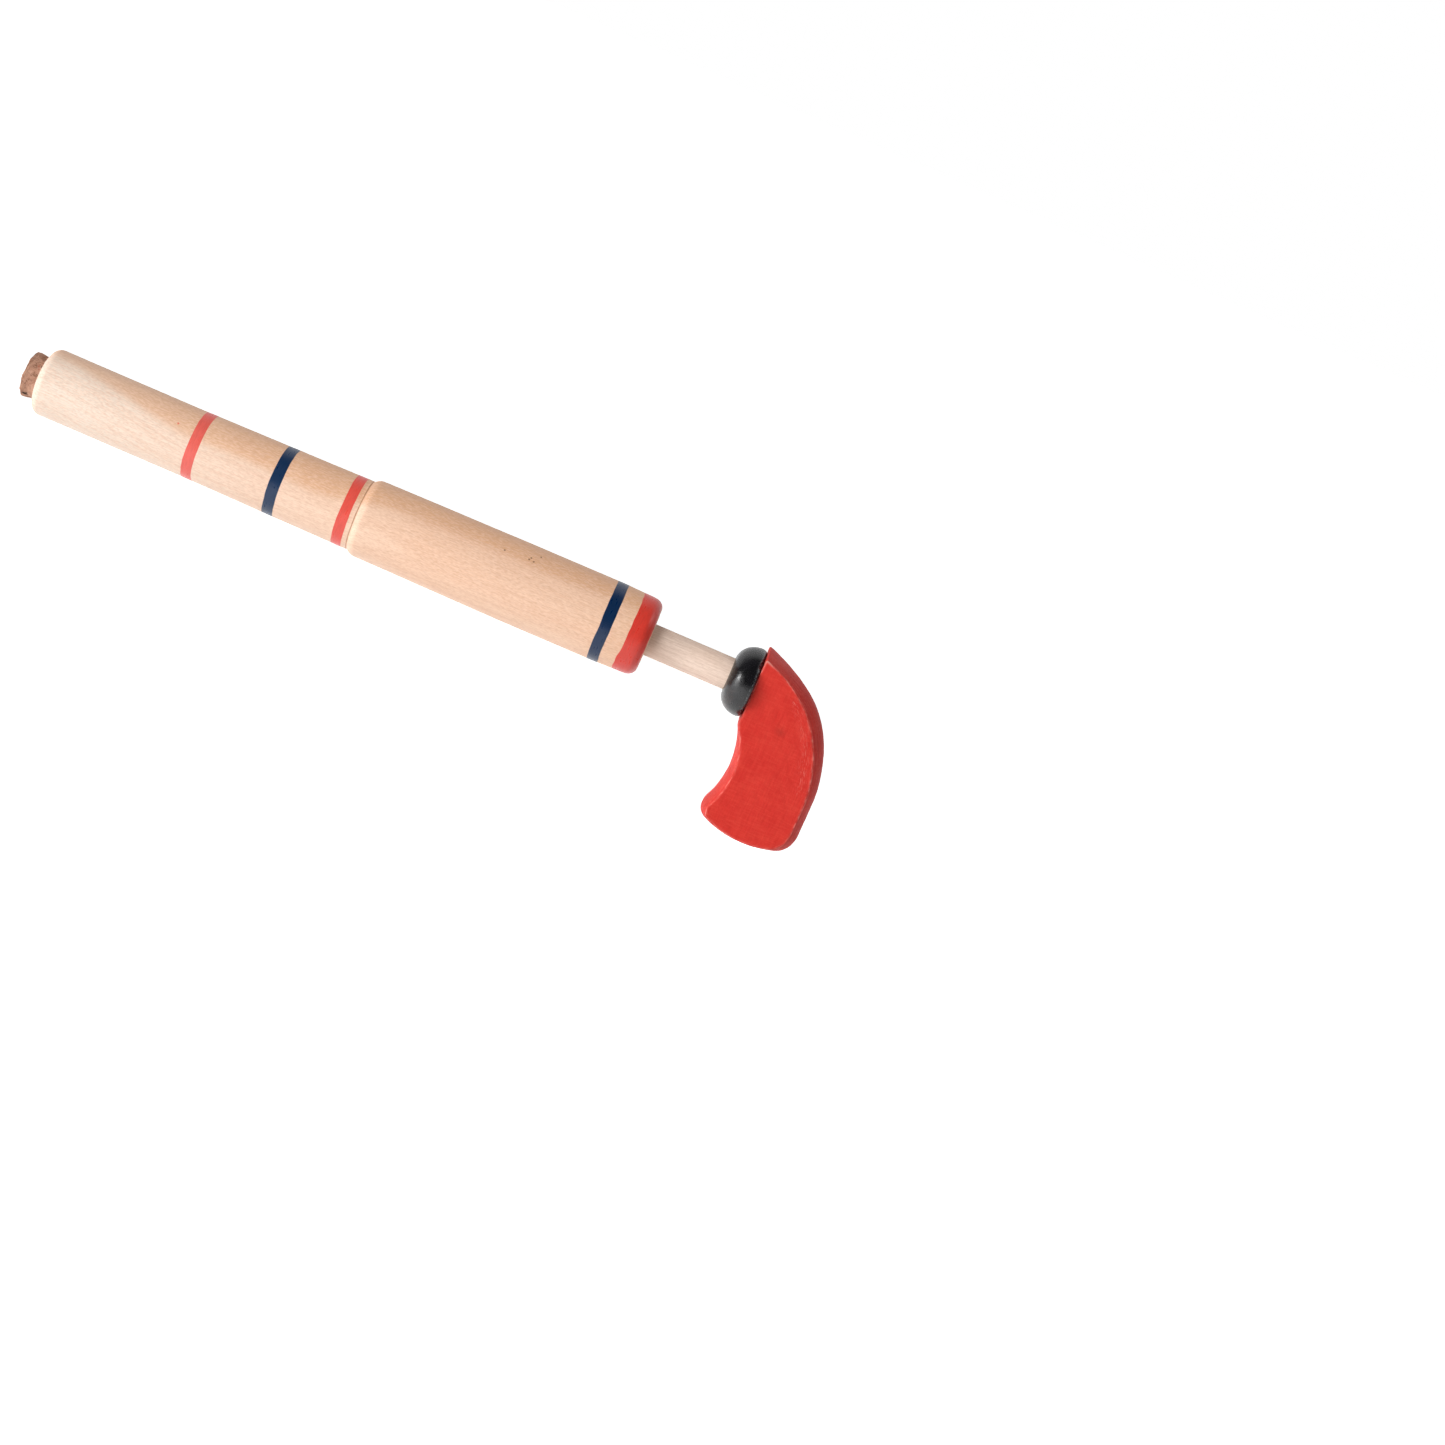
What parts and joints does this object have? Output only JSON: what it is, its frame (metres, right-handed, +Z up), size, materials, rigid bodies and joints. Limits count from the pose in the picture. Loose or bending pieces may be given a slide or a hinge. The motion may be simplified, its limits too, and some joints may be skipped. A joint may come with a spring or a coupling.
{
  "type": "cork popgun",
  "caption": "Wooden toy popgun: turned stepped barrel with painted rings, cork stopper, sliding dowel plunger with a stop ring and a D-shaped handle.",
  "frame": {"origin": "on the barrel's axis, at the middle of the straight 25 mm seat near its rear end, where a storage clip holds it", "axes": "+X along the barrel from the muzzle to the handle, +Z up with the handle hanging down towards -Z, +Y across the handle's thickness"},
  "size_m": [0.2633, 0.025, 0.0593],
  "materials": {
    "barrel_wood": "turned and waxed maple, satin, with painted rings",
    "cork": "natural cork, matt",
    "rod_wood": "raw birch dowel, matt",
    "piston_wood": "turned beech, matt",
    "seal_rubber": "greased nitrile rubber",
    "zinc_steel": "zinc plated",
    "black_lacquer": "black lacquered beech, semi-gloss",
    "red_paint": "red painted beech, satin, worn along the edges"
  },
  "bodies": {
    "barrel": {"barrel": "barrel_wood"},
    "seal": {"piston_seal": "seal_rubber"},
    "plunger": {"plunger_rod": "rod_wood", "piston_head": "piston_wood", "piston_washer": "zinc_steel", "piston_screw": "zinc_steel", "bumper_ring": "black_lacquer", "handle": "red_paint"},
    "cork": {"cork": "cork"}
  },
  "joints": [
    {"name": "plunger_slide", "type": "slide", "parent": "barrel", "child": "seal", "axis": [1, 0, 0], "range_m": [-0.0252, 0.1161]},
    {"name": "plunger_turn", "type": "hinge", "parent": "seal", "child": "plunger", "pos_m": [0, 0, 0], "axis": [1, 0, 0], "continuous": true},
    {"name": "cork_pull", "type": "slide", "parent": "barrel", "child": "cork", "axis": [-1, 0, 0], "range_m": [0, 0.04]}
  ]
}
